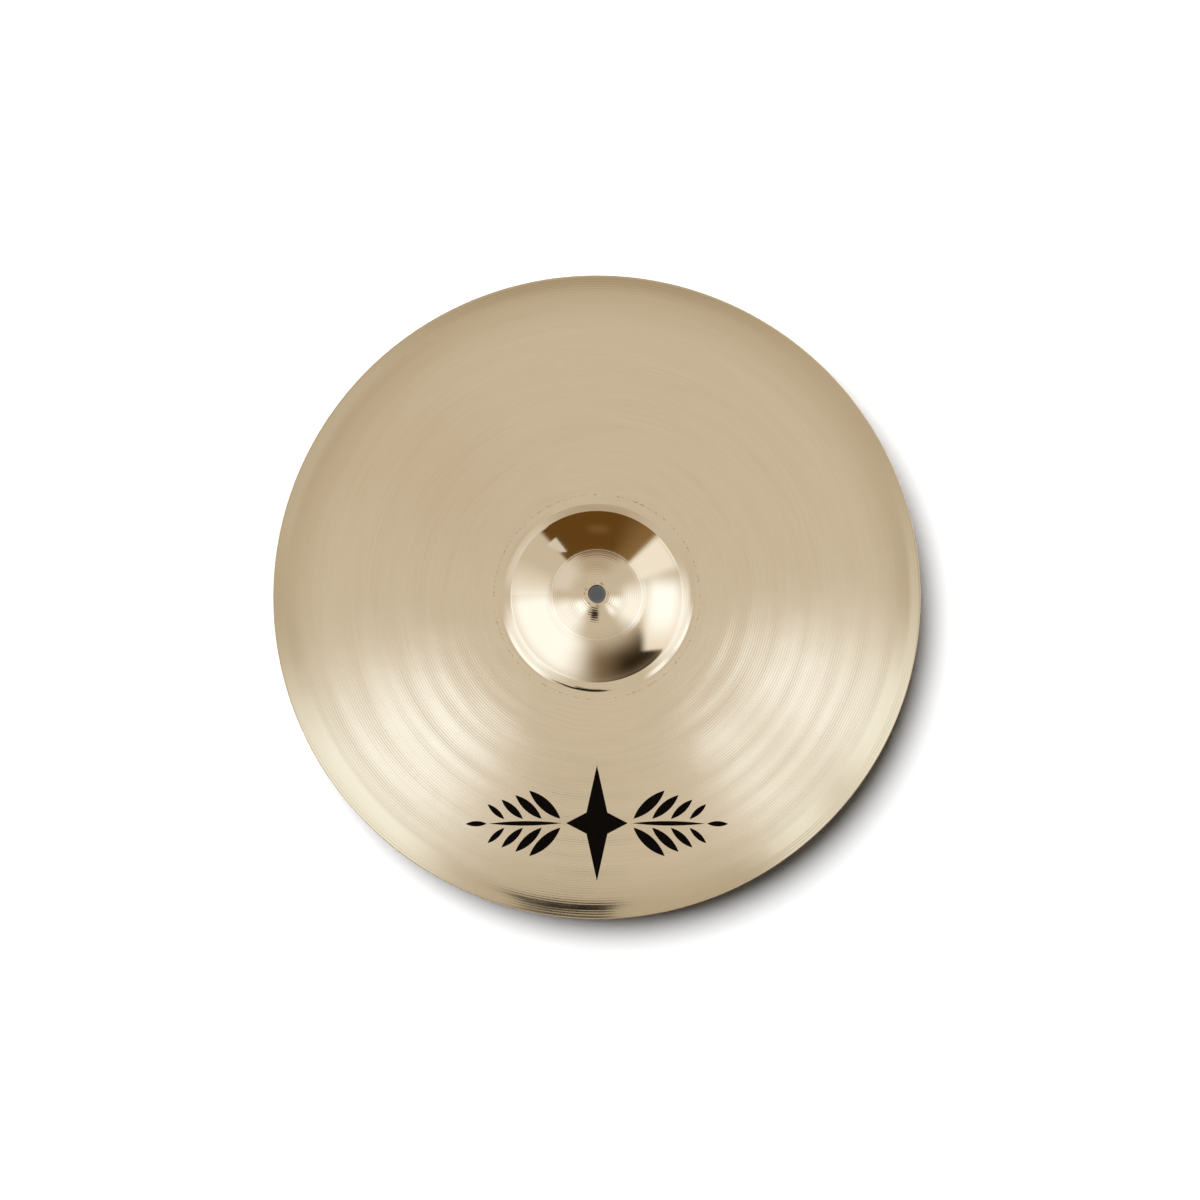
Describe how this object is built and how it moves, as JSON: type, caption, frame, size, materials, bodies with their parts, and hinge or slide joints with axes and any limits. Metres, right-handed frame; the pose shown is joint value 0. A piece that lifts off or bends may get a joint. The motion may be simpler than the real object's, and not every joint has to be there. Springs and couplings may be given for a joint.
{
  "type": "crash cymbal",
  "caption": "Round crash cymbal of thin bronze with a domed bell, a centre hole, a gently curved bow and a printed ornament on its hollow side.",
  "frame": {"origin": "on the axis of the centre hole, level with the outer face of the bell's crown, which is the lowest point", "axes": "+Z along the disc's axis, out of its hollow side; the printed ornament is towards -Y; +X to the right of it"},
  "size_m": [0.4572, 0.4572, 0.0403],
  "materials": {
    "bronze": "lathed and hammered, semi-gloss",
    "ink": "screen print, satin"
  },
  "bodies": {
    "root": {"bronze_disc": "bronze", "printed_star": "ink", "printed_sprig_left": "ink", "printed_sprig_right": "ink"}
  },
  "joints": []
}
